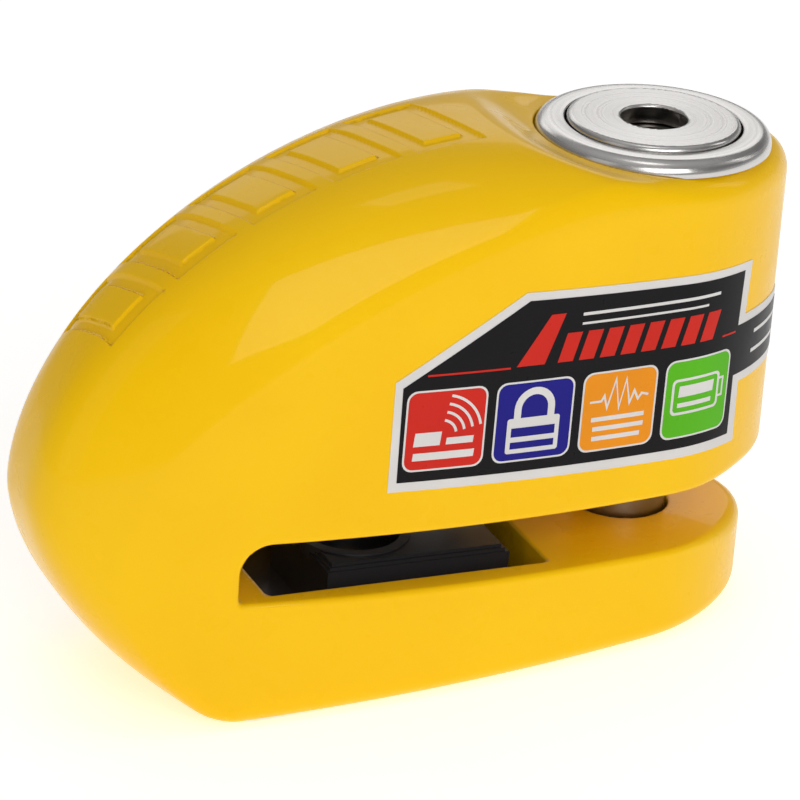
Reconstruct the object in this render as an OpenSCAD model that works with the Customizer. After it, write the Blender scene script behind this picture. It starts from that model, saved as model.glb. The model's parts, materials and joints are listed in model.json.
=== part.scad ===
// Motorcycle brake disc lock with a push-down locking plunger and a built-in siren.
// The base stands on z = 0. The plunger axis leans a few degrees towards the mouth,
// so the jaws, the slot and the whole lock mechanism share one leaning frame whose
// own origin is the centre of the plunger's top face (see pin_frame).

/* [Body casting] */

// angle between the plunger axis and the vertical, deg
pin_lean = 4.25; // [0:0.25:8]
// height of the plunger's top face above the base, on its axis
pin_top = 64.8; // [58:0.1:72]
// distance from the middle of the lock's length to the plunger axis
pin_x = 33.75; // [28:0.05:40]
// half width of the casting at its widest place
half_w = 19; // [16:0.25:23]
// curvature of the side faces in plan, 1/mm
side_curve = 0.0043; // [0:0.0001:0.01]
// distance of the widest place from the plunger axis
widest_x = 32; // [20:1:45]
// distance from the plunger axis to the rounded rear end of the upper jaw
upper_end = 18.3; // [16:0.1:24]
// distance from the plunger axis to the rounded rear end of the lower jaw
lower_end = 16.3; // [14:0.1:24]
// distance from the plunger axis to the tip of the nose
nose_len = 82.5; // [70:0.5:95]
// height of the dome's crest above the plunger's top face
crest_rise = 2; // [-3:0.1:3]
// how squarely the dome's cross-section is crowned
crown_power = 3.3; // [2:0.1:8]

/* [Disc slot] */

// depth of the slot's roof below the plunger's top face
slot_roof = 44.7; // [40:0.1:50]
// height of the slot
slot_h = 7.8; // [6:0.1:10]
// distance from the plunger axis to the closed end of the slot
slot_len = 59.4; // [45:0.1:70]
// radius of the slot's upper inner corner
slot_corner = 4; // [1:0.5:7]

/* [Plunger] */

// diameter of the plunger barrel
barrel_d = 22; // [18:0.1:26]
// length of the plunger barrel
barrel_len = 32; // [28:0.5:38]
// diameter of the hole that the key enters
keyhole_d = 8.5; // [6:0.1:11]
// depth of the key entry above its hardened plate
keyhole_depth = 2.6; // [1.5:0.1:4]
// diameter of the locking pin
pin_d = 12; // [8:0.1:14]
// depth of the locking pin's tip below the plunger's top face
pin_reach = 61.5; // [56:0.1:64]
// travel of the plunger from locked to fully up
travel = 16.5; // [12:0.1:18]
// outer diameter of the bezel ring
bezel_d = 30; // [26:0.1:34]
// bore of the bezel ring
bezel_bore = 22.5; // [18.5:0.1:26.5]
// height of the bezel ring above its seat
bezel_h = 2; // [1:0.1:3]

/* [Lock cylinder] */

// diameter of the disc pack's bore in the barrel
core_bore_d = 15; // [12:0.1:16]
// number of detainer discs
disc_count = 7; // [5:1:9]
// thickness of one detainer disc
disc_t = 1.2; // [0.8:0.1:2]
// diameter of a locking ball
ball_d = 5; // [4:0.1:6]
// radial travel of a locking ball
ball_travel = 1.35; // [1:0.05:2]

/* [Alarm] */

// half width of the well and of the alarm's chamber
well_half = 15.4; // [12:0.1:16]
// distance from the plunger axis to the near end of the well
well_near = 17; // [15:0.5:25]
// distance from the plunger axis to the far end of the well
well_far = 55; // [45:0.5:58]
// diameter of the battery
battery_d = 15.6; // [13:0.1:17]
// length of the battery
battery_len = 27; // [24:0.5:30]
// diameter of the piezo siren disc
siren_d = 19; // [14:0.5:20]

/* [Output] */

// the sub-part to draw

/* [Hidden] */

$fn = 64;
eps = 0.01;
deep = 100;

slot_floor = slot_roof + slot_h;
jaw_split = slot_roof + slot_h / 2;
lower_depth = 32;    // depth of the lower jaw's wall, cut off by the base

// plan outline: parabolic sides closed by a rounded rear end
rear_start = 2;
outline_steps = 26;
rear_steps = 12;

// dome profile, blended from the middle plane (k = 0) to the side edge (k = 1)
waist_mid = 42;      // depth of the nose tip on the middle plane
waist_edge = 52;     // depth of the nose edge on the side face
crest_x_mid = 24;
crest_x_edge = 10;
power_mid = 1.82;    // exponent of the superellipse from the nose to the crest
power_edge = 1.6;
edge_nose = 71.3;    // reach of the nose edge on the side face
edge_crest = 3;      // depth of the side edge at its highest
chin_x_mid = 56;     // centre of the nose's lower rounding
chin_x_edge = 51;
chin_mid = 28;
chin_edge = 20.9;
chin_power = 1.68;
foot_x_mid = 14;     // where the top meets the bezel ring, in front of the plunger axis
foot_x_edge = 2;
foot_mid = 1.6;      // depth of the top there
level_x = 1;         // behind this the top is level with the ring's seat
rear_round = 4;      // height of the rounding around the bezel's rear half
profile_steps = 22;
saddle_steps = 7;
chin_steps = 9;
crown_steps = 8;

bezel_top = 0.6;     // depth of the ring's face below the plunger's face
bezel_seat = bezel_top + bezel_h;
spot_d = bezel_d + 0.8;
bush_d = 26.5;
seal_h = 1.5;
spigot_len = 2.4;
bush_top = bezel_seat + spigot_len;
bush_bottom = 32;
ball_depth = 24.5;
ball_out = barrel_d / 2 - ball_d / 2 + ball_travel - 0.05;
ball_in = ball_out - ball_travel;
chamber_d = 20;
chamber_bottom = 40.2;
pin_hole_d = pin_d + 0.7;
pin_hole_depth = pin_reach + 1.2;
guide_bore = pin_d + 0.12;

core_d = core_bore_d - 0.1;
plate_t = 2;
core_top = keyhole_depth + plate_t + 0.1;
disc_d = 12.6;
disc_pitch = disc_t + 0.6;
disc_start = core_top + 1.4;
core_bottom = disc_start + disc_count * disc_pitch + 0.8;
cam_top = core_bottom + 0.1;
cam_bottom = 27.8;
cam_high = ball_out - ball_d / 2 - 0.05;
cam_low = ball_in - ball_d / 2 - 0.05;

stop_y = 5;
stop_depth = 12.5;
stop_d = 4;
magnet_d = 3;
magnet_depth = 18;
magnet_out = 8.7;    // distances of the magnet's two faces from the axis plane
magnet_in = 6.9;

chamber_x = 56;
chamber_top = 19;
loft_x = 38;
loft_half = 11;
loft_top = 9;
fit_gap = 0.3;
wall = 1;
lid_t = 1.5;
board_t = 1.6;
board_z = 24.6;
battery_x = 46.6;
battery_z = 35;
siren_x = 29;
module_screw_x = 21;
module_screw_y = 12.2;
recess_far = 56.4;
recess_near = 11.8;
recess_t = 2.4;
plug_screw_x = 14.5;
plug_screw_y = 9;
tongue_half = 5;
tongue_t = 0.8;
skirt = 0.2;
plug_floor = slot_floor + 8.8;

label_t = 0.25;
// label outline on the near side, x and z in the leaning frame
label_outline = [[-41.5, -38.7], [8.5, -39.8], [8.3, -31.3], [16, -31.5], [16, -22.5],
    [8.5, -22.2], [9, -15], [-24.8, -13.9], [-41.4, -24.1]];

// the leaning frame of the plunger: x towards the mouth, z up the plunger
module pin_frame() {
    translate([pin_x, 0, pin_top])
    rotate([0, pin_lean, 0])
        children();
}

// ring about the plunger axis between two depths
module ring(outer_d, inner_d, top, bottom) {
    difference() {
        translate([0, 0, -bottom])
            cylinder(d = outer_d, h = bottom - top);
        translate([0, 0, -bottom - 1])
            cylinder(d = inner_d, h = bottom - top + 2);
    }
}

// rod about an axis parallel to the plunger between two depths
module rod(d, top, bottom) {
    translate([0, 0, -bottom])
        cylinder(d = d, h = bottom - top);
}

// box given by its x range, half width and depths, nose at negative x
module block(x_far, x_near, half, top, bottom) {
    translate([-x_far, -half, -bottom])
        cube([x_far - x_near, 2 * half, bottom - top]);
}

// ---- outer shape of the casting ----

function side(x) = half_w - side_curve * pow(x + widest_x, 2) / 2;
function rear(x, end) = sqrt(max(0, 1 - pow(max(0, x + rear_start) / (end + rear_start), 2)));
function half_width(x, end) = side(x) * rear(x, end);

function outline_half(end, grow) = concat(
    [for (i = [0:outline_steps])
        let (x = -nose_len - 3 + (nose_len + 3 - rear_start) * i / outline_steps)
        [x, side(x) + grow]],
    [for (i = [1:rear_steps])
        let (t = 90 * i / rear_steps, x = -rear_start + (end + rear_start) * sin(t))
        [x + grow * sin(t), half_width(x, end) + grow * cos(t)]]);

function outline(end, grow = 0) = concat(
    outline_half(end, grow),
    [for (i = [outline_steps + rear_steps - 1:-1:0])
        let (p = outline_half(end, grow)[i]) [p.x, -p.y]]);

// superellipse quarter: angle t from 0 at the nose tip to 90 at the crest
function quarter(cx, cz, a, b, n, t) =
    [cx - a * pow(cos(t), 2 / n), cz + b * pow(sin(t), 2 / n)];

function blend(a, b, k) = a + (b - a) * k;

// outline of the casting's lengthwise section at blend k
function dome(k) =
    let (
        waist = -blend(waist_mid, waist_edge, k),
        tip = blend(nose_len, edge_nose, k),
        crest = blend(crest_x_mid, crest_x_edge, k),
        high = blend(crest_rise, -edge_crest, k),
        n = blend(power_mid, power_edge, k),
        chin_x = blend(chin_x_mid, chin_x_edge, k),
        chin = blend(chin_mid, chin_edge, k),
        foot_x = -blend(foot_x_mid, foot_x_edge, k),
        foot = -blend(foot_mid, bezel_seat, k),
        top_end = -bezel_seat)
    concat(
        [for (i = [0:chin_steps - 1])
            quarter(-chin_x, waist, tip - chin_x, -chin, chin_power, 90 * (1 - i / chin_steps))],
        [for (i = [0:profile_steps])
            quarter(-crest, waist, tip - crest, high - waist, n, 90 * i / profile_steps)],
        [for (i = [1:saddle_steps])
            let (u = i / saddle_steps)
            [blend(-crest, foot_x, u), blend(high, foot, u * u * (3 - 2 * u))]],
        [[-level_x, top_end], [upper_end + 1, top_end], [upper_end + 1, -deep], [-chin_x, -deep]]);

function crown_blend(s) = pow(abs(s), crown_power);

// solid bounded by the crowned dome, wider than the casting
module dome_solid() {
    edge = dome(1);
    cap = half_w + 2;
    sections = concat(
        [[for (p = edge) [p.x, -cap, p.y]]],
        [for (j = [0:2 * crown_steps])
            let (s = sin(90 * (j / crown_steps - 1)))
            [for (p = dome(crown_blend(s))) [p.x, 0.985 * s * side(max(-nose_len, min(0, p.x))), p.y]]],
        [[for (p = edge) [p.x, cap, p.y]]]);
    rows = len(sections) - 1;
    count = len(sections[0]);
    polyhedron(
        points = [for (section = sections) each section],
        faces = concat(
            [[for (i = [0:count - 1]) i]],
            [for (j = [0:rows - 1], i = [0:count - 1])
                let (a = j * count + i, b = j * count + (i + 1) % count)
                each [[a, a + count, b], [b, a + count, b + count]]],
            [[for (i = [count - 1:-1:0]) rows * count + i]]),
        convexity = 4);
}

// removes the sharp top edge around the rear half of the bezel seat
module rear_rounding() {
    inner = spot_d / 2;
    outer = upper_end + 0.7;
    rotate([0, 0, -90])
    rotate_extrude(angle = 180)
        polygon(concat(
            [for (t = [0:15:90])
                [inner + (outer - inner) * sin(t), -bezel_seat - rear_round * (1 - cos(t))]],
            [[outer + 8, -bezel_seat - rear_round], [outer + 8, 1], [inner, 1]]));
}

// upright walls of both jaws, the lower one ending a little earlier
module jaw_walls() {
    translate([0, 0, -jaw_split])
    linear_extrude(height = jaw_split + 4)
        polygon(outline(upper_end));
    translate([0, 0, -jaw_split - lower_depth])
    linear_extrude(height = lower_depth)
        polygon(outline(lower_end));
}

module casting_blank() {
    difference() {
        pin_frame()
        difference() {
            intersection() {
                jaw_walls();
                dome_solid();
            }
            rear_rounding();
        }
        translate([-deep, -deep / 2, -deep])
            cube([2 * deep, deep, deep]);
    }
}

module disc_slot() {
    block(slot_len - slot_corner, -deep / 2, deep / 2, slot_roof, slot_floor);
    block(slot_len, slot_len - slot_corner - 1, deep / 2, slot_roof + slot_corner, slot_floor);
    translate([slot_corner - slot_len, -deep / 2, -slot_roof - slot_corner])
    rotate([-90, 0, 0])
        cylinder(r = slot_corner, h = deep);
}

module alarm_chamber() {
    block(chamber_x, well_near + fit_gap, well_half, chamber_top, slot_roof + 1);
    block(loft_x, well_near + fit_gap, loft_half, loft_top, chamber_top + 1);
}

module module_screw_places() {
    for (side = [-1, 1])
        translate([-module_screw_x, side * module_screw_y, 0])
            children();
}

// recess in the base that takes the plug's flange, cut square to the base
module plug_recess(gap, top) {
    intersection() {
        pin_frame()
            block(recess_far - gap, recess_near + gap, well_half - gap, slot_floor + 2, deep);
        translate([-deep, -deep / 2, -1])
            cube([2 * deep, deep, top + 1]);
    }
}

// the two plug screws stand square to the base, at the end near the pin
module plug_screw_places() {
    for (side = [-1, 1])
        translate([pin_x - plug_screw_x - 4.6, side * plug_screw_y, 0])
            children();
}

// tongue that hooks the plug's far end into the casting
module plug_tongue(gap) {
    block(well_far + 2.3 + gap, well_far - 1, tongue_half + gap,
        plug_floor - gap, plug_floor + tongue_t + gap);
}

module body() {
    color([0.96, 0.73, 0.05])
    difference() {
        casting_blank();
        pin_frame() {
            disc_slot();
            alarm_chamber();
            block(well_far, well_near, well_half, slot_floor - 1, deep);
            plug_tongue(0.25);
            rod(spot_d, -5, bezel_seat);
            rod(bush_d, bezel_seat - 1, bush_bottom);
            rod(chamber_d, bush_bottom - 1, chamber_bottom);
            rod(guide_bore, chamber_bottom - 1, slot_roof + 1);
            rod(pin_hole_d, slot_floor - 1, pin_hole_depth);
            ring(pin_d + 3.6, pin_d - 1, chamber_bottom - eps, chamber_bottom + 1.9);
            module_screw_places()
                rod(3, 12, chamber_top + 1);
            translate([-well_near - 1, stop_y, -stop_depth])
            rotate([0, 90, 0])
                cylinder(d = stop_d, h = 8);
        }
        plug_recess(0, recess_t);
        plug_screw_places()
            cylinder(d = 3, h = 9);
    }
}

// ---- plunger guide ----

module bezel_ring() {
    color([0.72, 0.71, 0.69])
    pin_frame()
    rotate_extrude($fn = 96)
        polygon([[bezel_bore / 2, -bezel_top - 0.3],
            [bezel_bore / 2 + 0.3, -bezel_top],
            [bezel_d / 2 - 1.6, -bezel_top],
            [bezel_d / 2 - 0.9, -bezel_top - 0.2],
            [bezel_d / 2 - 0.3, -bezel_top - 0.7],
            [bezel_d / 2, -bezel_top - 1.3],
            [bezel_d / 2, -bezel_seat],
            [bush_d / 2, -bezel_seat],
            [bush_d / 2, -bush_top],
            [barrel_d / 2 + 1.8, -bush_top],
            [barrel_d / 2 + 1.8, -bush_top + seal_h],
            [bezel_bore / 2, -bush_top + seal_h]]);
}

module guide_bush() {
    color([0.62, 0.62, 0.64])
    pin_frame()
    difference() {
        ring(bush_d, barrel_d + 0.1, bush_top, bush_bottom);
        // grooves that the locking balls enter, with the plunger down and fully up
        for (depth = [ball_depth, ball_depth - travel])
            rotate_extrude()
                translate([ball_out, -depth])
                    circle(d = ball_d + 0.3);
        // clearance for the travel stop
        translate([-bush_d / 2 - 1, stop_y, -stop_depth])
        rotate([0, 90, 0])
            cylinder(d = stop_d + 0.1, h = bush_d / 2);
    }
}

module barrel_seal() {
    color([0.06, 0.06, 0.06])
    pin_frame()
        ring(barrel_d + 3.6, barrel_d + 0.1, bush_top - seal_h, bush_top);
}

module stop_screw() {
    color([0.25, 0.25, 0.26])
    pin_frame()
    translate([-well_near - fit_gap, stop_y, -stop_depth])
    rotate([0, 90, 0])
    difference() {
        cylinder(d = stop_d - 0.06, h = well_near - 8.1);
        translate([0, 0, -1])
            cylinder(d = 2.3, h = 3, $fn = 6);
    }
}

// ---- plunger ----

module barrel() {
    color([0.74, 0.73, 0.71])
    pin_frame()
    difference() {
        union() {
            rod(barrel_d, 0.5, barrel_len);
            translate([0, 0, -0.5])
                cylinder(d1 = barrel_d, d2 = barrel_d - 1, h = 0.5);
        }
        rod(keyhole_d, -1, keyhole_depth + 1);
        rod(core_bore_d, keyhole_depth, cam_bottom + 0.1);
        // guide slot of the travel stop
        hull()
            for (depth = [stop_depth, stop_depth + travel])
                translate([-barrel_d / 2 - 1, stop_y, -depth])
                rotate([0, 90, 0])
                    cylinder(d = stop_d + 0.2, h = 4, $fn = 32);
        // cross holes of the two locking balls
        translate([0, -barrel_d, -ball_depth])
        rotate([-90, 0, 0])
            cylinder(d = ball_d + 0.06, h = 2 * barrel_d);
        // pocket of the magnet
        translate([-barrel_d / 2 - 1, -stop_y, -magnet_depth])
        rotate([0, 90, 0])
            cylinder(d = magnet_d, h = barrel_d / 2 + 1 - magnet_in);
        // seat of the locking pin
        rod(8, cam_bottom, barrel_len + 1);
        // cross pin
        translate([-barrel_d, 0, -30])
        rotate([0, 90, 0])
            cylinder(d = 2, h = 2 * barrel_d);
    }
}

module keyhole_plate() {
    color([0.30, 0.29, 0.28])
    pin_frame()
    difference() {
        rod(core_d, keyhole_depth, keyhole_depth + plate_t);
        rod(6.4, keyhole_depth - 1, keyhole_depth + 0.7);
        block(2.9, -2.9, 1, 0, keyhole_depth + plate_t + 1);
    }
}

module keyway() {
    intersection() {
        rod(6.2, 0, deep);
        block(4, -4, 1.7, 0, deep);
    }
}

module lock_core() {
    color([0.78, 0.66, 0.36])
    pin_frame()
    difference() {
        rod(core_d, core_top, core_bottom);
        keyway();
        // slots of the discs and spacers, open to the sides
        rod(disc_d + 0.1, disc_start - 0.1, core_bottom - 0.7);
        // channel of the sidebar
        translate([core_d / 2 - 1.9, -1.05, -core_bottom + 0.7])
            cube([3, 2.1, core_bottom - core_top - 1.4]);
    }
}

// detainer discs, each with its own side notch and a cut for the key
module detainer_discs() {
    color([0.80, 0.70, 0.42])
    pin_frame()
    for (i = [0:disc_count - 1])
        let (top = disc_start + i * disc_pitch)
        difference() {
            rod(disc_d, top, top + disc_t);
            keyway();
            rotate([0, 0, 30 * (i % 3) - 30])
            translate([-disc_d / 2, 0, -top - disc_t - 1])
                cylinder(d = 2, h = disc_t + 2, $fn = 24);
            translate([disc_d / 2 - 1.2, -1.1, -top - disc_t - 1])
                cube([2, 2.2, disc_t + 2]);
        }
}

module disc_spacers() {
    color([0.55, 0.55, 0.56])
    pin_frame()
    for (i = [0:disc_count - 2])
        let (top = disc_start + i * disc_pitch + disc_t)
        difference() {
            rod(disc_d, top, top + disc_pitch - disc_t);
            rod(8.4, top - 1, top + 2);
            translate([disc_d / 2 - 1.2, -1.1, -top - 2])
                cube([2, 2.2, 4]);
        }
}

module sidebar() {
    color([0.55, 0.55, 0.56])
    pin_frame()
    translate([core_d / 2 - 1.75, -0.95, -core_bottom + 0.8])
        cube([1.65, 1.9, core_bottom - core_top - 1.6]);
}

// spiral of the cam that drives one ball, high at 0 and low at 90 degrees
function cam_radius(a) =
    let (b = a - 180 * floor(a / 180))
    b <= 90 ? cam_low + ball_travel * b / 90
        : b <= 130 ? cam_high
        : cam_high - ball_travel * (b - 130) / 50;

module release_cam() {
    color([0.60, 0.60, 0.62])
    pin_frame()
    translate([0, 0, -cam_bottom])
    difference() {
        linear_extrude(height = cam_bottom - cam_top)
            polygon([for (a = [0:5:355]) cam_radius(a) * [cos(a + 90), sin(a + 90)]]);
        translate([0, 0, cam_bottom - cam_top - 2.5])
            cylinder(d = 6.2, h = 3);
    }
}

module ball(side) {
    color([0.70, 0.70, 0.72])
    pin_frame()
    translate([0, side * ball_in, -ball_depth])
        sphere(d = ball_d);
}

module ball_near() {
    ball(-1);
}

module ball_far() {
    ball(1);
}

module locking_pin() {
    color([0.66, 0.65, 0.63])
    pin_frame()
    difference() {
        union() {
            rod(8, cam_bottom + 0.2, barrel_len + 1);
            rod(pin_d, barrel_len, pin_reach - 0.8);
            translate([0, 0, -pin_reach])
                cylinder(d1 = pin_d - 1.6, d2 = pin_d, h = 0.8);
        }
        translate([-barrel_d, 0, -30])
        rotate([0, 90, 0])
            cylinder(d = 2, h = 2 * barrel_d);
    }
}

module cross_pin() {
    color([0.50, 0.50, 0.51])
    pin_frame()
    translate([-barrel_d / 2 + 0.6, 0, -30])
    rotate([0, 90, 0])
        cylinder(d = 2, h = barrel_d - 1.2);
}

module arming_magnet() {
    color([0.45, 0.45, 0.47])
    pin_frame()
    translate([-magnet_out, -stop_y, -magnet_depth])
    rotate([0, 90, 0])
        cylinder(d = magnet_d, h = magnet_out - magnet_in);
}

// compression spring swept along a helix, closed by flat end coils
module return_spring() {
    wire = 1.1;
    mean = 16;
    turns = 4.5;
    rise = chamber_bottom - barrel_len - wire - 0.4;
    sides = 6;
    steps = 90;
    rings = [for (i = [0:steps])
        let (a = 360 * turns * i / steps, z = -chamber_bottom + wire / 2 + 0.2 + rise * i / steps)
        [for (j = [0:sides - 1])
            let (b = 360 * j / sides, r = mean / 2 + wire / 2 * cos(b))
            [r * cos(a), r * sin(a), z + wire / 2 * sin(b)]]];
    color([0.58, 0.58, 0.60])
    pin_frame()
    polyhedron(
        points = [for (r = rings) each r],
        faces = concat(
            [[for (j = [sides - 1:-1:0]) j]],
            [for (i = [0:steps - 1], j = [0:sides - 1])
                let (a = i * sides + j, b = i * sides + (j + 1) % sides)
                each [[a, b, a + sides], [b, b + sides, a + sides]]],
            [[for (j = [0:sides - 1]) steps * sides + j]]),
        convexity = 8);
}

module pin_seal() {
    color([0.06, 0.06, 0.06])
    pin_frame()
        ring(pin_d + 3.6, pin_d + 0.1, chamber_bottom, chamber_bottom + 1.9);
}

// ---- alarm module, in the chamber above the slot ----

module alarm_housing() {
    color([0.05, 0.05, 0.06])
    pin_frame()
    difference() {
        union() {
            block(chamber_x - fit_gap, well_near + 2 * fit_gap, well_half - fit_gap,
                chamber_top + fit_gap, slot_roof - lid_t);
            block(loft_x - fit_gap, well_near + 2 * fit_gap, loft_half - fit_gap,
                loft_top + fit_gap, chamber_top + 2);
        }
        difference() {
            block(chamber_x - fit_gap - wall, well_near + 2 * fit_gap + wall, well_half - fit_gap - wall,
                chamber_top + fit_gap + wall, slot_roof);
            module_screw_places()
                rod(5, 0, deep);
        }
        block(loft_x - fit_gap - wall, well_near + 2 * fit_gap + wall, loft_half - fit_gap - wall,
            loft_top + fit_gap + wall, chamber_top + 3);
        module_screw_places()
            rod(3.4, 0, deep);
    }
}

module alarm_lid() {
    color([0.07, 0.07, 0.08])
    pin_frame()
    difference() {
        block(chamber_x - fit_gap, well_near + 2 * fit_gap, well_half - fit_gap,
            slot_roof - lid_t, slot_roof);
        // sound slots of the siren
        for (i = [-3:3])
            let (half = sqrt(64 - 6.25 * i * i))
            translate([-siren_x + 2.5 * i - 0.6, -half, -slot_roof - 1])
                cube([1.2, 2 * half, 4]);
        module_screw_places() {
            rod(3.4, 0, deep);
            rod(5, slot_roof - 1, deep);
        }
    }
}

module lid_gasket() {
    color([0.08, 0.08, 0.08])
    pin_frame()
    difference() {
        block(chamber_x - fit_gap - wall, well_near + 2 * fit_gap + wall, well_half - fit_gap - wall,
            slot_roof - lid_t - 0.5, slot_roof - lid_t);
        block(chamber_x - fit_gap - 2 * wall, well_near + 2 * fit_gap + 1.6, well_half - fit_gap - 1.6,
            slot_roof - lid_t - 1, slot_roof);
        module_screw_places()
            rod(5.2, 0, deep);
    }
}

module module_screws() {
    color([0.40, 0.40, 0.41])
    pin_frame()
    module_screw_places()
    difference() {
        union() {
            rod(2.9, 13, slot_roof - 0.5);
            rod(4.8, slot_roof - 1, slot_roof - 0.1);
        }
        rod(2.2, slot_roof - 0.7, slot_roof + 1, $fn = 6);
    }
}

module circuit_board() {
    color([0.05, 0.30, 0.12])
    pin_frame()
    difference() {
        block(chamber_x - 2.4, well_near + 2.6, well_half - 2.4, board_z - board_t, board_z);
        module_screw_places()
            rod(5.6, 0, deep);
    }
}

module board_parts() {
    color([0.10, 0.10, 0.11])
    pin_frame() {
        block(52, 45, 4, board_z - board_t - 1.5, board_z - board_t);
        block(43, 40, 3, board_z - board_t - 1.1, board_z - board_t);
        for (i = [0:4])
            translate([-51 + 3 * i, 6.5, -board_z + board_t])
                cube([1.6, 0.8, 0.6]);
        translate([-41, -7, -board_z + board_t])
            cylinder(d = 4, h = 2.4);
    }
}

module shock_sensor() {
    color([0.75, 0.62, 0.25])
    pin_frame()
    translate([-30, 0, -board_z + board_t])
    difference() {
        cylinder(d = 7, h = 8);
        translate([0, 0, 7.2])
            cylinder(d = 4, h = 2);
    }
}

module reed_switch() {
    color([0.35, 0.50, 0.38])
    pin_frame()
    translate([-well_near - 3.6, -stop_y, -board_z + board_t])
        cylinder(d = 2.4, h = 10);
}

module battery() {
    color([0.20, 0.32, 0.55])
    pin_frame()
    translate([-battery_x, 0, -battery_z])
    rotate([90, 0, 0]) {
        translate([0, 0, -battery_len / 2])
            cylinder(d = battery_d, h = battery_len - 0.8);
        translate([0, 0, battery_len / 2 - 1])
            cylinder(d = 6, h = 1);
    }
}

module battery_contacts() {
    color([0.80, 0.78, 0.60])
    pin_frame()
    for (side = [-1, 1])
        translate([-battery_x - 3.5, side * (battery_len / 2 + 0.25) - 0.2, -battery_z - 5])
            cube([7, 0.4, battery_z + 5 - board_z]);
}

module siren_disc() {
    color([0.78, 0.66, 0.30])
    pin_frame()
    translate([-siren_x, 0, 0])
    difference() {
        rod(siren_d, slot_roof - lid_t - 4.6, slot_roof - lid_t - 0.1);
        rod(siren_d - 3, slot_roof - lid_t - 2, slot_roof);
    }
}

// ---- plug that closes the well from below ----

module well_plug() {
    color([0.03, 0.03, 0.035])
    difference() {
        union() {
            plug_recess(0.2, recess_t - 0.1);
            pin_frame() {
                block(well_far - 0.4, well_near + 0.4, well_half - 0.4, plug_floor, deep);
                plug_tongue(0);
                // island with chamfered shoulders and a round rim
                translate([-32, 0, 0])
                for (i = [0:2])
                    block(12.4 - 0.4 * i, -12.4 + 0.4 * i, 9.3 - 0.4 * i,
                        slot_floor + 1.2 - 0.4 * i, plug_floor + 1);
                translate([-37.5, 0, 0])
                    ring(15, 12.4, slot_floor + 0.2, slot_floor + 2);
            }
        }
        translate([-deep, -deep / 2, -deep])
            cube([2 * deep, deep, deep + skirt]);
        pin_frame()
        translate([-37.5, 0, 0])
            rod(12.4, slot_floor - 1, slot_floor + 3.4);
        plug_screw_places() {
            translate([0, 0, -1])
                cylinder(d = 3.4, h = 9);
            cylinder(d = 4.7, h = 1.4);
        }
    }
}

module plug_seal() {
    color([0.08, 0.08, 0.08])
    pin_frame()
    difference() {
        block(well_far, well_near, well_half, plug_floor + 1.2, plug_floor + 2.2);
        block(well_far - 0.4, well_near + 0.4, well_half - 0.4, plug_floor, plug_floor + 3);
    }
}

module plug_screws() {
    color([0.45, 0.45, 0.46])
    plug_screw_places()
    difference() {
        union() {
            translate([0, 0, skirt])
                cylinder(d = 4.4, h = 1.2);
            translate([0, 0, 1])
                cylinder(d = 2.9, h = 7.4);
        }
        translate([0, 0, -1])
            cylinder(d = 2.2, h = 2, $fn = 6);
    }
}

// ---- label on the near side ----

module label() {
    color([0.04, 0.04, 0.05])
    pin_frame()
    intersection() {
        difference() {
            translate([0, 0, -40])
            linear_extrude(height = 36)
                polygon(outline(upper_end, label_t));
            translate([0, 0, -41])
            linear_extrude(height = 38)
                polygon(outline(upper_end));
        }
        rotate([90, 0, 0])
        linear_extrude(height = 30)
            polygon(label_outline);
    }
}

body();
bezel_ring();
guide_bush();
barrel();
keyhole_plate();
lock_core();
detainer_discs();
disc_spacers();
sidebar();
release_cam();
ball_near();
ball_far();
locking_pin();
cross_pin();
return_spring();
barrel_seal();
pin_seal();
stop_screw();
arming_magnet();
alarm_housing();
alarm_lid();
lid_gasket();
module_screws();
circuit_board();
board_parts();
shock_sensor();
reed_switch();
battery();
battery_contacts();
siren_disc();
well_plug();
plug_seal();
plug_screws();
label();
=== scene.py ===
import json
import math

import bmesh
import bpy
import numpy as np
from mathutils import Matrix, Vector
from mathutils.geometry import tessellate_polygon


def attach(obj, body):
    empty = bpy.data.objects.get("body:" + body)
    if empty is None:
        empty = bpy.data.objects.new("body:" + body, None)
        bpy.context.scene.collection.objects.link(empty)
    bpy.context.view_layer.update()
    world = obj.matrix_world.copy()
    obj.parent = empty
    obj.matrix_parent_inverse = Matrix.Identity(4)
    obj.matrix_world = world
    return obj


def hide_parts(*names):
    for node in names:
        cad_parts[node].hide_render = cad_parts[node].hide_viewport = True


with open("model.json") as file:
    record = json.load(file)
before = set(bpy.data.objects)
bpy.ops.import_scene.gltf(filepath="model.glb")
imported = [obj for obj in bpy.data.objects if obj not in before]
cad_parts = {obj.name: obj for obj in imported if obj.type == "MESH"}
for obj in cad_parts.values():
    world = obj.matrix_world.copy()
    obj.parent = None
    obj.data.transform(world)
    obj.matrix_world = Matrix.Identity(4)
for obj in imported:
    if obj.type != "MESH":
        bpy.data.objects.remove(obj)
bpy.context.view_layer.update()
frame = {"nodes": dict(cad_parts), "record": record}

# ---------------------------------------------------------------------------
# The leaning frame of the plunger, in millimetres: x towards the mouth of the
# slot, z up the plunger, origin at the middle of the plunger's top face.
LEAN = math.radians(4.25)
PIN_X, PIN_TOP = 33.75, 64.8
COS, SIN = math.cos(LEAN), math.sin(LEAN)
TO_ROW = np.array([[COS, 0, SIN], [0, 1, 0], [-SIN, 0, COS]])
SHIFT = np.array([PIN_X, 0, PIN_TOP])


def to_row(points):
    """Leaning frame in mm to the row frame in metres."""
    return (np.asarray(points, float) @ TO_ROW.T + SHIFT) / 1000


def turn_row(vectors):
    return np.asarray(vectors, float) @ TO_ROW.T


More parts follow.
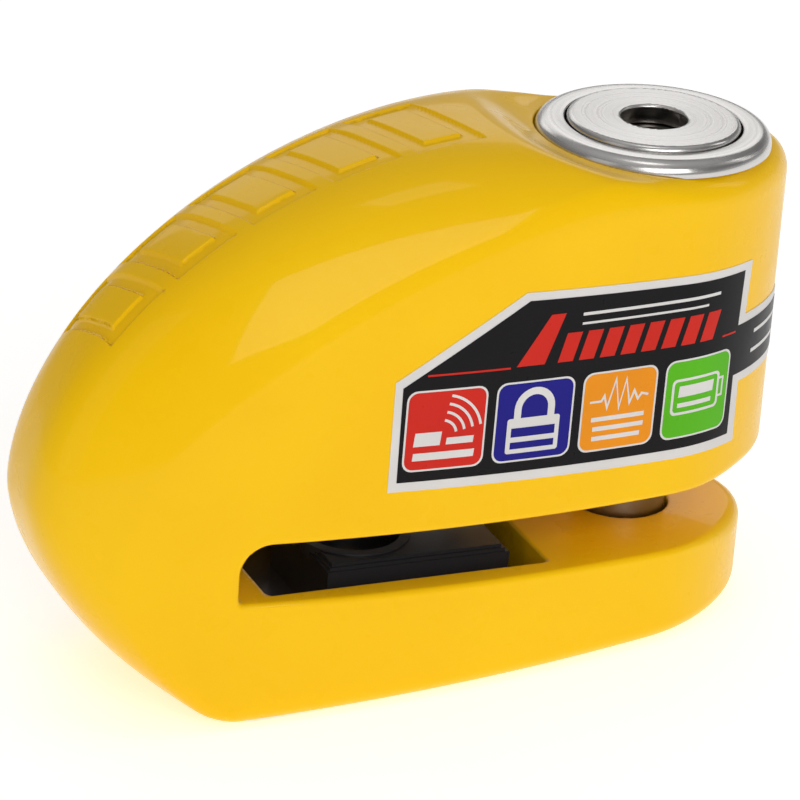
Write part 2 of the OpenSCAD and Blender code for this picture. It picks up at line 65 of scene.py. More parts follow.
# ---------------------------------------------------------------------------
# The casting's shape, the same figures as the CAD
HALF_W, CURVE, WIDEST = 19.0, 0.0043, 32.0
UPPER_END, LOWER_END = 18.3, 16.3
NOSE, EDGE_NOSE = 82.5, 71.3
WAIST, EDGE_WAIST = 42.0, 52.0
CREST_X, EDGE_CREST_X = 24.0, 10.0
CREST, EDGE_CREST = 2.0, -3.0
POWER, EDGE_POWER = 1.82, 1.6
CHIN_X, EDGE_CHIN_X = 56.0, 51.0
CHIN, EDGE_CHIN = 28.0, 20.9
CHIN_POWER = 1.68
FOOT_X, EDGE_FOOT_X = 14.0, 2.0
FOOT, SEAT = 1.6, 2.6
LEVEL_X = 1.0
CROWN = 3.3
CROWN_END = 1.02  # the crown is carried on just past the walls, so that they meet it smoothly
ROOF, FLOOR, SLOT_LEN = 44.7, 52.5, 59.4
JAW_SPLIT = 48.6
DEEP = 12.0
WELL_HALF, WELL_NEAR, WELL_FAR = 15.4, 17.0, 55.0
RECESS_NEAR, RECESS_FAR, RECESS_T = 11.8, 56.4, 2.4
STOP_Y, STOP_DEPTH = 5.0, 12.5
# Boxes cut out of the casting: two corners and the radius of their edges
MODULE_WELL = ((-WELL_FAR, -WELL_HALF, -90), (-WELL_NEAR, WELL_HALF, -FLOOR + 3), 0.35)
ALARM_ROOM = ((-56, -WELL_HALF, -ROOF - 3), (-17.3, WELL_HALF, -19), 0.3)
SIREN_ROOM = ((-38, -11, -20), (-17.3, 11, -9), 0.3)
TONGUE_POCKET = ((-57.55, -5.25, -62.35), (-54, 5.25, -61.05), 0.1)
# Bores on the plunger axis: diameter, depth of the top and of the bottom, radius of the edges
BORES = {
    "bezel seat": (30.2, -20, SEAT, 0.2),
    "guide bush": (26.5, SEAT - 1, 32, 0.2),
    "return spring": (20, 31, 40.2, 0.2),
    "pin above the slot": (12.12, 39, ROOF + 3, 0.3),
    "pin seal": (15.6, 40, 42.1, 0.05),
    "pin below the slot": (12.7, FLOOR - 3, 62.7, 0.4),
}
MODULE_SCREW = (3, 12, 20)
MODULE_SCREW_AT = (-21, 12.2)
PLUG_SCREW_R, PLUG_SCREW_DEEP = 1.5, 9.0
PLUG_SCREW_AT = (PIN_X - 19.1, 9.0)


def blend(a, b, k):
    return a + (b - a) * k


def ramp(t):
    t = np.clip(t, 0, 1)
    return t * t * (3 - 2 * t)


def side(x):
    return HALF_W - CURVE * (x + WIDEST) ** 2 / 2


def both(a, b, r):
    """Field of what is in a and in b, with an edge of radius r between them."""
    return np.minimum(-r, np.maximum(a, b)) + np.hypot(np.maximum(a + r, 0), np.maximum(b + r, 0))


def less(a, b, r):
    """Field of a with b cut out of it."""
    return both(a, -b, r)


def slope(field, p, step=0.01):
    """Field at p and its gradient."""
    f = field(p)
    g = np.empty(p.shape)
    for i in range(3):
        q = p.copy()
        q[..., i] += step
        g[..., i] = (field(q) - f) / step
    return f, g


def as_distance(field, p):
    f, g = slope(field, p)
    return f / np.maximum(np.linalg.norm(g, axis=-1), 1e-3)


def wall(p, end):
    x, y = p[..., 0], p[..., 1]
    s = np.maximum(side(x), 4)
    e = np.maximum(x + 2, 0) / (end + 2)
    return (np.hypot(y / s, e) - 1) * s


def dome(p):
    """Crowned top and nose."""
    x, y, z = p[..., 0], p[..., 1], p[..., 2]
    s = np.minimum(np.abs(y) / np.maximum(side(np.clip(x, -NOSE, 0)), 4), CROWN_END)
    k = s ** CROWN
    waist = -blend(WAIST, EDGE_WAIST, k)
    tip = blend(NOSE, EDGE_NOSE, k)
    crest = blend(CREST_X, EDGE_CREST_X, k)
    high = blend(CREST, EDGE_CREST, k)
    n = blend(POWER, EDGE_POWER, k)
    reach, rise = tip - crest, high - waist
    dx = np.maximum(-crest - x, 0) / reach
    dz = np.maximum(z - waist, 0) / rise
    share = (dx + 1e-9) / (dx + dz + 2e-9)
    front = ((dx + 1e-9) ** n + (dz + 1e-9) ** n) ** (1 / n) - 1
    front = front * blend(rise, reach, share)
    foot_x = -blend(FOOT_X, EDGE_FOOT_X, k)
    foot = -blend(FOOT, SEAT, k)
    saddle = blend(high, foot, ramp((x + crest) / (foot_x + crest)))
    level = blend(foot, -SEAT, np.clip((x - foot_x) / (-LEVEL_X - foot_x), 0, 1))
    top = z - np.where(x < foot_x, saddle, level)
    upper = np.where(x < -crest, front, top)
    chin_x = blend(CHIN_X, EDGE_CHIN_X, k)
    cx = np.maximum(-chin_x - x, 0) / (tip - chin_x)
    cz = np.maximum(waist - z, 0) / blend(CHIN, EDGE_CHIN, k)
    chin = ((cx + 1e-9) ** CHIN_POWER + (cz + 1e-9) ** CHIN_POWER) ** (1 / CHIN_POWER)
    chin = (chin - 1) * (tip - chin_x)
    return np.maximum(np.where(z > waist, upper, chin), -DEEP)


def box_field(p, low, high, r=0.8):
    """Rounded box between two corners."""
    q = [np.abs(p[..., i] - (low[i] + high[i]) / 2) - (high[i] - low[i]) / 2 + r for i in range(3)]
    out = np.sqrt(sum(np.maximum(v, 0) ** 2 for v in q))
    return out + np.minimum(np.maximum(np.maximum(q[0], q[1]), q[2]), 0) - r


def rod_field(p, d, top, bottom, x=0.0, y=0.0, r=0.2):
    radial = np.hypot(p[..., 0] - x, p[..., 1] - y) - d / 2
    ends = np.maximum(p[..., 2] + top, -bottom - p[..., 2])
    return both(radial, ends, r)


def ground(p):
    """Height above the base, with its sign turned so that below is outside."""
    return p[..., 0] * SIN - p[..., 2] * COS - PIN_TOP


def row_xz(p):
    return p[..., 0] * COS + p[..., 2] * SIN + PIN_X, -ground(p)


def blank_field(p):
    upper = as_distance(lambda q: wall(q, UPPER_END), p)
    lower = as_distance(lambda q: wall(q, LOWER_END), p)
    walls = np.where(p[..., 2] > -JAW_SPLIT, upper, lower)
    top = as_distance(dome, p)
    x = p[..., 0]
    radius = blend(1.5, 4.2, ramp((x + 22) / 34))
    return both(both(walls, top, radius), ground(p), 2.2)


def casting(p):
    x, y, z = p[..., 0], p[..., 1], p[..., 2]
    f = blank_field(p)
    slot = both(-SLOT_LEN - x, z + ROOF, 4.0)
    slot = both(slot, -FLOOR - z, 0.6)
    f = less(f, slot, blend(0.7, 2.0, ramp((x - 2) / 10)))
    for low, high, r in (MODULE_WELL, ALARM_ROOM, SIREN_ROOM):
        f = less(f, box_field(p, low, high), r)
    for d, top, bottom, r in BORES.values():
        f = less(f, rod_field(p, d, top, bottom), r)
    for s in (-1, 1):
        f = less(f, rod_field(p, *MODULE_SCREW, MODULE_SCREW_AT[0], s * MODULE_SCREW_AT[1]), 0.1)
    stop = np.maximum(np.hypot(y - STOP_Y, z + STOP_DEPTH) - 2, np.maximum(-18 - x, x + 10))
    f = less(f, stop, 0.1)
    rx, rz = row_xz(p)
    along = np.abs(x + (RECESS_FAR + RECESS_NEAR) / 2) - (RECESS_FAR - RECESS_NEAR) / 2
    f = less(f, np.maximum(np.maximum(along, np.abs(y) - WELL_HALF), rz - RECESS_T), 0.25)
    low, high, r = TONGUE_POCKET
    f = less(f, box_field(p, low, high, r), r)
    for s in (-1, 1):
        hole = np.hypot(rx - PLUG_SCREW_AT[0], y - s * PLUG_SCREW_AT[1]) - PLUG_SCREW_R
        f = less(f, np.maximum(hole, rz - PLUG_SCREW_DEEP), 0.1)
    return f


# ---------------------------------------------------------------------------
# Recessed generic motif along the ridge of the dome
MARK_DEPTH, MARK_SOFT = 0.42, 0.42
MARK_CELLS = 5
MARK_X = (-75.0, -27.0)
MARK_Y, MARK_LEAN = 0.8, 0.28
MARK_STROKE = 1.9
MARK_LOWEST = -34
_t = np.linspace(0, math.pi / 2, 200)
RIDGE_X = -CREST_X - (NOSE - CREST_X) * np.cos(_t) ** (2 / POWER)
RIDGE_Z = -WAIST + (CREST + WAIST) * np.sin(_t) ** (2 / POWER)
RIDGE_S = np.concatenate([[0], np.cumsum(np.hypot(np.diff(RIDGE_X), np.diff(RIDGE_Z)))])


def mark_mask(p):
    """1 inside the strokes of the motif, 0 outside."""
    along = np.interp(p[..., 0], RIDGE_X, RIDGE_S)
    first, last = np.interp(MARK_X, RIDGE_X, RIDGE_S)
    pitch = (last - first) / MARK_CELLS
    y = p[..., 1] - MARK_Y
    u = (along - first + MARK_LEAN * y) / pitch
    cell = np.clip(np.floor(u), 0, MARK_CELLS - 1)
    u = (u - cell - 0.5) * pitch
    half_u, half_v = pitch * 0.40, 6.2 + 0.25 * cell
    outside = np.maximum(np.abs(u) - half_u, np.abs(y) - half_v)
    hollow = outside + MARK_STROKE
    m = ramp(0.5 - np.maximum(outside, -hollow) / MARK_SOFT)
    return np.where(p[..., 2] > MARK_LOWEST, m, 0)


def marked(p):
    return casting(p) + MARK_DEPTH * mark_mask(p)


# ---------------------------------------------------------------------------
# Meshing of a field
def settle(field, points, rounds=3, limit=0.4):
    """Moves points onto the surface of the field and gives its normals there."""
    for _ in range(rounds):
        f, g = slope(field, points)
        g2 = np.maximum((g ** 2).sum(-1), 0.05)
        points = points - (np.clip(f / g2, -limit, limit)[:, None]) * g
    g = slope(field, points, 0.02)[1]
    return points, g / np.maximum(np.linalg.norm(g, axis=-1, keepdims=True), 1e-9)


def surface_net(field, low, high, step):
    counts = [int(math.ceil((b - a) / step)) + 1 for a, b in zip(low, high)]
    axes = [a + step * np.arange(n) for a, n in zip(low, counts)]
    grid = np.stack(np.meshgrid(*axes, indexing="ij"), -1)
    f = field(grid)
    cells = tuple(n - 1 for n in counts)
    total, hits = np.zeros(cells + (3,)), np.zeros(cells)
    quads = []
    crossings = []
    for axis in range(3):
        a = np.take(f, range(counts[axis] - 1), axis)
        b = np.take(f, range(1, counts[axis]), axis)
        cross = (a < 0) != (b < 0)
        t = np.where(cross, a / np.where(cross, a - b, 1), 0)
        point = np.take(grid, range(counts[axis] - 1), axis).copy()
        point[..., axis] += t * step
        point *= cross[..., None]
        others = [i for i in range(3) if i != axis]
        for i in (0, 1):
            for j in (0, 1):
                cut = [slice(None)] * 3
                cut[others[0]] = slice(i, i + cells[others[0]])
                cut[others[1]] = slice(j, j + cells[others[1]])
                total += point[tuple(cut)]
                hits += cross[tuple(cut)]
        crossings.append((axis, cross, a < 0))
    index = np.full(cells, -1)
    used = hits > 0
    index[used] = np.arange(used.sum())
    points = total[used] / hits[used][:, None]
    for axis, cross, inside in crossings:
        i, j = (axis + 1) % 3, (axis + 2) % 3
        where = np.argwhere(cross)
        ok = (where[:, i] > 0) & (where[:, j] > 0)
        ok &= (where[:, i] < cells[i]) & (where[:, j] < cells[j])
        where = where[ok]
        corner = []
        for di, dj in ((-1, -1), (0, -1), (0, 0), (-1, 0)):
            c = where.copy()
            c[:, i] += di
            c[:, j] += dj
            corner.append(index[c[:, 0], c[:, 1], c[:, 2]])
        q = np.stack(corner, 1)
        flip = ~inside[where[:, 0], where[:, 1], where[:, 2]]
        q[flip] = q[flip][:, ::-1]
        quads.append(q)
    return points, np.concatenate(quads)


def relax(points, quads):
    """Mean of each point's neighbours along the faces' edges."""
    total, count = np.zeros_like(points), np.zeros(len(points))
    for a in range(4):
        b = (a + 1) % 4
        for i, j in ((a, b), (b, a)):
            np.add.at(total, quads[:, i], points[quads[:, j]])
            np.add.at(count, quads[:, i], 1)
    return total / np.maximum(count, 1)[:, None]


SAME_WAY = 0.6  # least cosine between the field's normal and the mesh's own


def to_object(name, points, faces, normals, material):
    mesh = bpy.data.meshes.new(name)
    mesh.from_pydata(to_row(points).tolist(), [], faces)
    mesh.polygons.foreach_set("use_smooth", [True] * len(mesh.polygons))
    mesh.update()
    if normals is not None:
        own = np.empty(len(mesh.vertices) * 3)
        mesh.vertex_normals.foreach_get("vector", own)
        own = own.reshape(-1, 3)
        normals = turn_row(normals)
        apart = (own * normals).sum(-1) < SAME_WAY
        normals[apart] = own[apart]
        mesh.normals_split_custom_set_from_vertices(normals.tolist())
    obj = bpy.data.objects.new(name, mesh)
    bpy.context.scene.collection.objects.link(obj)
    mesh.materials.append(material)
    return obj


def solid_from_field(name, field, low, high, step, material, fine=None, fine_field=None):
    points, quads = surface_net(field, low, high, step)
    for _ in range(2):
        points = settle(field, 0.5 * points + 0.5 * relax(points, quads), 1)[0]
    points, normals = settle(field, points, 3)
    faces = quads.tolist()
    if fine is not None:
        mesh = bpy.data.meshes.new("draft")
        mesh.from_pydata(points.tolist(), [], faces)
        bm = bmesh.new()
        bm.from_mesh(mesh)
        bm.verts.ensure_lookup_table()
        near = fine(points)
        edges = [e for e in bm.edges if near[e.verts[0].index] and near[e.verts[1].index]]
        bmesh.ops.subdivide_edges(bm, edges=edges, cuts=2, use_grid_fill=True)
        bm.verts.index_update()
        points = np.array([v.co[:] for v in bm.verts])
        faces = [[v.index for v in f.verts] for f in bm.faces]
        bm.free()
        bpy.data.meshes.remove(mesh)
        points, normals = settle(fine_field, points, 4)
    return to_object(name, points, faces, normals, material)


# ---------------------------------------------------------------------------
# Materials
class Finish:
    """A node material built up from a Principled shader."""

    def __init__(self, name, **values):
        self.mat = bpy.data.materials.new(name)
        self.mat.use_nodes = True
        self.tree = self.mat.node_tree
        self.shader = self.tree.nodes["Principled BSDF"]
        for key, value in values.items():
            self.shader.inputs[key.replace("_", " ")].default_value = value

    def node(self, kind, **values):
        n = self.tree.nodes.new(kind)
        for key, value in values.items():
            if hasattr(n, key):
                setattr(n, key, value)
            else:
                n.inputs[key.replace("_", " ")].default_value = value
        return n

    def link(self, a, b):
        self.tree.links.new(a, b)

    def place(self):
        return self.node("ShaderNodeTexCoord").outputs["Object"]

    def noise(self, vector, scale, detail=3.0, rough=0.5):
        n = self.node("ShaderNodeTexNoise", Scale=scale, Detail=detail, Roughness=rough)
        self.link(vector, n.inputs["Vector"])
        return n.outputs["Fac"]

    def spread(self, value, low, high):
        n = self.node("ShaderNodeMapRange")
        n.inputs["From Min"].default_value = 0.3
        n.inputs["From Max"].default_value = 0.7
        n.inputs["To Min"].default_value = low
        n.inputs["To Max"].default_value = high
        self.link(value, n.inputs["Value"])
        return n.outputs["Result"]

    def colours(self, value, *stops):
        n = self.node("ShaderNodeValToRGB")
        while len(n.color_ramp.elements) < len(stops):
            n.color_ramp.elements.new(0.5)
        for e, (at, rgb) in zip(n.color_ramp.elements, stops):
            e.position = at
            e.color = (*rgb, 1)
        self.link(value, n.inputs["Fac"])
        self.link(n.outputs["Color"], self.shader.inputs["Base Color"])

    def rough(self, value, low, high):
        self.link(self.spread(value, low, high), self.shader.inputs["Roughness"])

    def bump(self, height, distance, strength=1.0):
        n = self.node("ShaderNodeBump", Strength=strength, Distance=distance)
        self.link(height, n.inputs["Height"])
        self.link(n.outputs["Normal"], self.shader.inputs["Normal"])


def paint():
    m = Finish("yellow_paint", Roughness=0.3, Coat_Weight=0.22, Coat_Roughness=0.04, IOR=1.45,
               Specular_IOR_Level=0.16, Specular_Tint=(1.0, 0.72, 0.28, 1.0))
    v = m.place()
    m.colours(m.noise(v, 35, 2), (0.3, (0.93, 0.532, 0.002)), (0.7, (0.96, 0.572, 0.003)))
    m.rough(m.noise(v, 220, 4), 0.24, 0.36)
    m.bump(m.noise(v, 420, 2), 0.00002, 0.5)
    return m.mat


def steel(name, tone, rough, groove=2600.0, depth=0.000004):
    """Metal turned about the plunger axis, with fine concentric marks."""
    m = Finish(name, Metallic=1.0, Anisotropic=0.5)
    tex = m.node("ShaderNodeTexCoord")
    shift = m.node("ShaderNodeMapping", vector_type="TEXTURE")
    shift.inputs["Location"].default_value = (PIN_X / 1000, 0, PIN_TOP / 1000)
    shift.inputs["Rotation"].default_value = (0, LEAN, 0)
    m.link(tex.outputs["Object"], shift.inputs["Vector"])
    parts = m.node("ShaderNodeSeparateXYZ")
    m.link(shift.outputs["Vector"], parts.inputs["Vector"])
    flat = m.node("ShaderNodeCombineXYZ")
    m.link(parts.outputs["X"], flat.inputs["X"])
    m.link(parts.outputs["Y"], flat.inputs["Y"])
    across = m.node("ShaderNodeMath", operation="MULTIPLY")
    across.inputs[1].default_value = -1
    m.link(parts.outputs["Y"], across.inputs[0])
    tangent = m.node("ShaderNodeCombineXYZ")
    m.link(across.outputs["Value"], tangent.inputs["X"])
    m.link(parts.outputs["X"], tangent.inputs["Y"])
    m.link(tangent.outputs["Vector"], m.shader.inputs["Tangent"])
    length = m.node("ShaderNodeVectorMath", operation="LENGTH")
    m.link(flat.outputs["Vector"], length.inputs[0])
    line = m.node("ShaderNodeCombineXYZ")
    m.link(length.outputs["Value"], line.inputs["X"])
    m.link(parts.outputs["Z"], line.inputs["Z"])
    fine = m.noise(line.outputs["Vector"], groove, 4, 0.7)
    cloud = m.noise(shift.outputs["Vector"], 160, 4)
    low, high = [c * 0.86 for c in tone], tone
    m.colours(cloud, (0.3, low), (0.7, high))
    mix = m.node("ShaderNodeMath", operation="MULTIPLY")
    m.link(fine, mix.inputs[0])
    m.link(m.spread(cloud, 0.8, 1.15), mix.inputs[1])
    m.rough(mix.outputs["Value"], rough[0], rough[1])
    m.bump(fine, depth)
    return m.mat


def plain(name, dark, light, rough, scale=300, height=0.00001, **more):
    m = Finish(name, **more)
    v = m.place()
    m.colours(m.noise(v, scale * 0.4, 3), (0.3, dark), (0.7, light))
    grain = m.noise(v, scale, 5, 0.6)
    m.rough(grain, *rough)
    m.bump(grain, height, 0.6)
    return m.mat


PAINT = paint()
STAINLESS = steel("stainless", (0.66, 0.64, 0.62), (0.14, 0.34))
HARD = steel("hardened_steel", (0.30, 0.29, 0.285), (0.25, 0.45))
# Near-black steel for the keyhole plate down in the keyhole: painted shade, so that the hole reads
# as shaded
KEYWAY_SHADE = steel("keyway_painted_shade", (0.10, 0.085, 0.07), (0.25, 0.45))
BRASS = plain("cylinder_brass", (0.60, 0.44, 0.18), (0.72, 0.54, 0.24), (0.25, 0.4), Metallic=1.0)
RUBBER = plain("seal_rubber", (0.01, 0.01, 0.01), (0.02, 0.02, 0.02), (0.6, 0.8), 500, 0.00003)
GLOSS = plain("black_gloss", (0.006, 0.006, 0.007), (0.008, 0.008, 0.009), (0.06, 0.16), 180,
              0.00004, Specular_IOR_Level=0.9, Coat_Weight=0.5, Coat_Roughness=0.04)
PLASTIC = plain("black_plastic", (0.010, 0.010, 0.011), (0.018, 0.018, 0.02), (0.4, 0.6), 700,
                0.00003)
BOARD = plain("board_green", (0.01, 0.10, 0.03), (0.02, 0.14, 0.05), (0.3, 0.45))
WRAP = plain("battery_wrap", (0.03, 0.07, 0.25), (0.04, 0.09, 0.30), (0.25, 0.35))
CONTACT = plain("contact_metal", (0.60, 0.58, 0.48), (0.72, 0.70, 0.60), (0.25, 0.4), Metallic=1.0)
SLOT_OF = {m.name: m for m in (STAINLESS, HARD, BRASS, RUBBER, GLOSS, PLASTIC, BOARD, WRAP,
                               CONTACT)}


def print_ink(name, rgb):
    dark = tuple(c * 0.9 for c in rgb)
    return plain(name, dark, rgb, (0.26, 0.38), 260, 0.000006, Specular_IOR_Level=0.12)


INK = {
    "black": print_ink("ink_black", (0.006, 0.005, 0.006)),
    "white": print_ink("ink_white", (0.72, 0.70, 0.68)),
    "red": print_ink("ink_red", (0.62, 0.022, 0.012)),
    "blue": print_ink("ink_blue", (0.012, 0.010, 0.22)),
    "orange": print_ink("ink_orange", (0.85, 0.29, 0.010)),
    "green": print_ink("ink_green", (0.10, 0.47, 0.010)),
}

# CAD nodes keep their meshes and take the finish of their slot
for row in frame["record"]["subparts"]:
    finish = SLOT_OF.get(row["material_slot"])
    obj = frame["nodes"][row["node"]]
    if finish:
        for s in obj.material_slots:
            s.material = finish
# Painted shade: the keyhole plate takes the near-black steel and the stainless locking pin takes
# the darker hardened steel, so that the keyhole and the pin under the slot's roof read as shaded;
# the core keeps its own brass
for name, finish in (("keyhole_plate", KEYWAY_SHADE), ("lock_core", BRASS), ("locking_pin", HARD)):
    for s in frame["nodes"][name].material_slots:
        s.material = finish

# ---------------------------------------------------------------------------
# Casting
BODY_LOW, BODY_HIGH = (-84.1, -20.3, -70.7), (20.3, 20.3, 4.1)
STEP = 0.6
LIP = 1.3


def near_marks(points):
    """Where the mesh is made finer: the motif, the ring's seat and the slot's outer edges."""
    grown = np.zeros(len(points), bool)
    for du, dv in ((0, 0), (0.9, 0), (-0.9, 0), (0, 0.9), (0, -0.9)):
        q = points.copy()
        q[:, 0] += du
        q[:, 1] += dv
        grown |= mark_mask(q) > 0.02
    x, y, z = points.T
    grown &= (np.abs(y) < 12) & (x > -80) & (x < -22) & (z > RIDGE_Z[0])
    grown &= np.abs(as_distance(dome, points)) < 0.3
    grown |= (np.abs(np.hypot(x, y) - 15.2) < 0.9) & (z > -4)
    skin = np.abs(as_distance(lambda q: wall(q, UPPER_END), points)) < LIP
    lips = (np.abs(z + ROOF) < LIP) | (np.abs(z + FLOOR) < LIP)
    return grown | (skin & lips & (x > -60.5))


casting_obj = solid_from_field("casting", casting, BODY_LOW, BODY_HIGH, STEP, PAINT, near_marks,
                               marked)
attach(casting_obj, "casing")
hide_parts("body")


# ---------------------------------------------------------------------------
# Bezel ring and plunger barrel
def lathe(name, profile, material, count=192):
    """Turns a closed profile of (radius, height) about the plunger axis."""
    r = np.array([p[0] for p in profile])
    z = np.array([p[1] for p in profile])
    n = len(profile)
    turn = np.linspace(0, 2 * math.pi, count, endpoint=False)
    points = np.stack([np.outer(np.cos(turn), r), np.outer(np.sin(turn), r),
                       np.tile(z, (count, 1))], -1).reshape(-1, 3)
    faces = []
    for i in range(count):
        for j in range(n):
            a, b = i * n + j, i * n + (j + 1) % n
            c, d = ((i + 1) % count) * n + (j + 1) % n, ((i + 1) % count) * n + j
            faces.append((a, d, c, b))
    obj = to_object(name, points, faces, None, material)
    obj.data.set_sharp_from_angle(angle=math.radians(28))
    return obj


def round_corner(cx, cz, r, a0, a1, steps=10):
    return [(cx + r * math.cos(math.radians(a0 + (a1 - a0) * i / steps)),
             cz + r * math.sin(math.radians(a0 + (a1 - a0) * i / steps)))
            for i in range(steps + 1)]


RING_BORE_R, RING_TOP, RING_R = 11.25, -0.6, 15.0
RING_INNER_EDGE, RING_OUTER_EDGE = 0.25, 1.8
SPIGOT_R, SPIGOT_BORE_R, SPIGOT_END = 13.25, 12.8, -5.0
ring_profile = (round_corner(RING_BORE_R + RING_INNER_EDGE, RING_TOP - RING_INNER_EDGE,
                             RING_INNER_EDGE, 180, 90, 5)
                + [(12.6, RING_TOP)]
                + round_corner(RING_R - RING_OUTER_EDGE, RING_TOP - RING_OUTER_EDGE,
                               RING_OUTER_EDGE, 90, 0, 14)
                + [(RING_R, -SEAT), (SPIGOT_R, -SEAT), (SPIGOT_R, SPIGOT_END),
                   (SPIGOT_BORE_R, SPIGOT_END), (SPIGOT_BORE_R, -3.5), (RING_BORE_R, -3.5)])
ring_obj = lathe("bezel", ring_profile, STAINLESS)
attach(ring_obj, "casing")
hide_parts("bezel_ring")


BARREL_D, BARREL_LEN = 22, 32
TRAVEL = 16.5


def barrel_field(p):
    x, y, z = p[..., 0], p[..., 1], p[..., 2]
    f = rod_field(p, BARREL_D, 0, BARREL_LEN, r=0.75)
    key_entry = rod_field(p, 8.5, -5, 2.9, r=0.05)
    core_room = rod_field(p, 15, 2.6, 27.9, r=0.1)
    pin_seat = rod_field(p, 8, 27, 40, r=0.1)
    f = less(less(less(f, key_entry, 0.3), core_room, 0.05), pin_seat, 0.1)
    groove = np.hypot(y - STOP_Y, z - np.clip(z, -STOP_DEPTH - TRAVEL, -STOP_DEPTH)) - 2.1
    f = less(f, np.maximum(groove, x + 8), 0.15)
    ball_hole = np.hypot(x, z + 24.5) - 2.53
    f = less(f, ball_hole, 0.15)
    magnet = np.maximum(np.hypot(y + STOP_Y, z + 18) - 1.5, x + 6.9)
    f = less(f, magnet, 0.1)
    cross_pin = np.hypot(y, z + 30) - 1
    return less(f, cross_pin, 0.05)


BARREL_STEP = 0.4
barrel_obj = solid_from_field("plunger_barrel", barrel_field, (-11.6, -11.6, -32.6),
                              (11.6, 11.6, 0.6), BARREL_STEP, STAINLESS)
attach(barrel_obj, "plunger")
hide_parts("barrel")

# ---------------------------------------------------------------------------
# Label: thin printed layers that follow the near side of the casting.
# Places on it are (arc length along the side from x = -40, height z).
_x = np.linspace(-80, UPPER_END - 0.01, 6000)
_e = np.maximum(_x + 2, 0) / (UPPER_END + 2)
_y = -side(_x) * np.sqrt(1 - _e ** 2)
_s = np.concatenate([[0], np.cumsum(np.hypot(np.diff(_x), np.diff(_y)))])
_s -= np.interp(-40, _x, _s)


def on_side(s, z, lift):
    x, y = np.interp(s, _s, _x), np.interp(s, _s, _y)
    dx, dy = np.interp(s + 0.2, _s, _x) - x, np.interp(s + 0.2, _s, _y) - y
    n = math.hypot(dx, dy)
    return (x + dy / n * lift, y - dx / n * lift, z)


STRIP = 1.2  # width of the strips that the print is cut into
BEND_FROM = 40  # beyond this arc length the side bends round to the rear


class Print:
    """All the shapes of one ink, each a thin closed plate between two lifts."""

    def __init__(self, ink):
        self.ink = ink
        self.points, self.faces = [], []

    def add(self, loops, low=0.12, high=0.15):
        """Adds the shape inside the loops, cut into strips so that it bends with the side."""
        flat = [Vector((s, z, 0)) for loop in loops for s, z in loop]
        bm = bmesh.new()
        verts = [bm.verts.new(v) for v in flat]
        for tri in tessellate_polygon([[Vector((s, z, 0)) for s, z in loop] for loop in loops]):
            if len(set(tri)) == 3:
                try:
                    bm.faces.new([verts[i] for i in tri])
                except ValueError:
                    pass
        s0, s1 = min(v.x for v in flat), max(v.x for v in flat)
        cut = math.ceil(s0 / STRIP) * STRIP
        while cut < s1:
            bmesh.ops.bisect_plane(bm, geom=bm.verts[:] + bm.edges[:] + bm.faces[:], dist=1e-5,
                                   plane_co=(cut, 0, 0), plane_no=(1, 0, 0))
            cut += STRIP if cut < BEND_FROM else STRIP / 2
        bmesh.ops.recalc_face_normals(bm, faces=bm.faces)
        for f in bm.faces:
            if f.normal.z < 0:
                f.normal_flip()
        bm.verts.index_update()
        base = len(self.points)
        n = len(bm.verts)
        for lift in (high, low):
            self.points += [on_side(v.co.x, v.co.y, lift) for v in bm.verts]
        for f in bm.faces:
            ids = [v.index for v in f.verts]
            self.faces.append([base + i for i in ids])
            self.faces.append([base + n + i for i in reversed(ids)])
        for e in bm.edges:
            if len(e.link_faces) == 1:
                loop = e.link_loops[0]
                a, b = loop.vert.index, loop.link_loop_next.vert.index
                self.faces.append([base + b, base + a, base + n + a, base + n + b])
        bm.free()

    def build(self):
        obj = to_object("label_" + self.ink, self.points, self.faces, None, INK[self.ink])
        obj.data.set_sharp_from_angle(angle=math.radians(40))
        return obj


PRINT_TURN = -0.7


def tilt(points, about=(0, -31)):
    """The print is turned a little from the outline of the film."""
    c, s = math.cos(math.radians(PRINT_TURN)), math.sin(math.radians(PRINT_TURN))
    return [((a - about[0]) * c - (b - about[1]) * s + about[0],
             (a - about[0]) * s + (b - about[1]) * c + about[1]) for a, b in points]


def rounded(s0, s1, z0, z1, r, steps=5):
    out = []
    for cx, cz, a in ((s1 - r, z1 - r, 0), (s0 + r, z1 - r, 90), (s0 + r, z0 + r, 180),
                      (s1 - r, z0 + r, 270)):
        out += round_corner(cx, cz, r, a, a + 90, steps)
    return out


def stroke(path, width):
    """Outline of a line of that width through the points."""
    left, right = [], []
    for i, p in enumerate(path):
        a = Vector(path[max(i - 1, 0)])
        b = Vector(path[min(i + 1, len(path) - 1)])
        here = Vector(p)
        if 0 < i < len(path) - 1:
            d1, d2 = (here - a).normalized(), (b - here).normalized()
            t = (d1 + d2).normalized()
            reach = width / 2 / max(t.dot(d1), 0.35)
        else:
            t = (b - a).normalized()
            reach = width / 2
        n = Vector((-t.y, t.x))
        left.append(tuple(here + n * reach))
        right.append(tuple(here - n * reach))
    return left + right[::-1]


prints = {ink: Print(ink) for ink in INK}
OUTER = [(-1.5, -38.7), (49.3, -39.6), (49.2, -31.4), (61.0, -31.4), (61.0, -22.2), (49.3, -22.2),
         (49.8, -15.0), (15.2, -13.9), (-1.4, -24.1)]
INNER = [(-0.4, -37.5), (47.8, -38.2), (47.8, -30.2), (60.6, -30.2), (60.6, -23.4), (47.8, -23.4),
         (48.2, -16.0), (15.7, -15.0), (-0.4, -24.9)]
prints["white"].add([OUTER], 0.0, 0.08)
prints["black"].add([INNER], 0.08, 0.12)

ICON, PITCH = 10.45, 11.93
LEFT, BOTTOM = 0.3, -36.0
for i, ink in enumerate(("red", "blue", "orange", "green")):
    s0 = LEFT + i * PITCH
    prints["white"].add([tilt(rounded(s0 - 0.15, s0 + ICON + 0.15, BOTTOM - 0.15,
                                      BOTTOM + ICON + 0.15, 1.35))])
    prints[ink].add([tilt(rounded(s0 + 0.1, s0 + ICON - 0.1, BOTTOM + 0.1, BOTTOM + ICON - 0.1,
                                  1.2))], 0.15, 0.17)


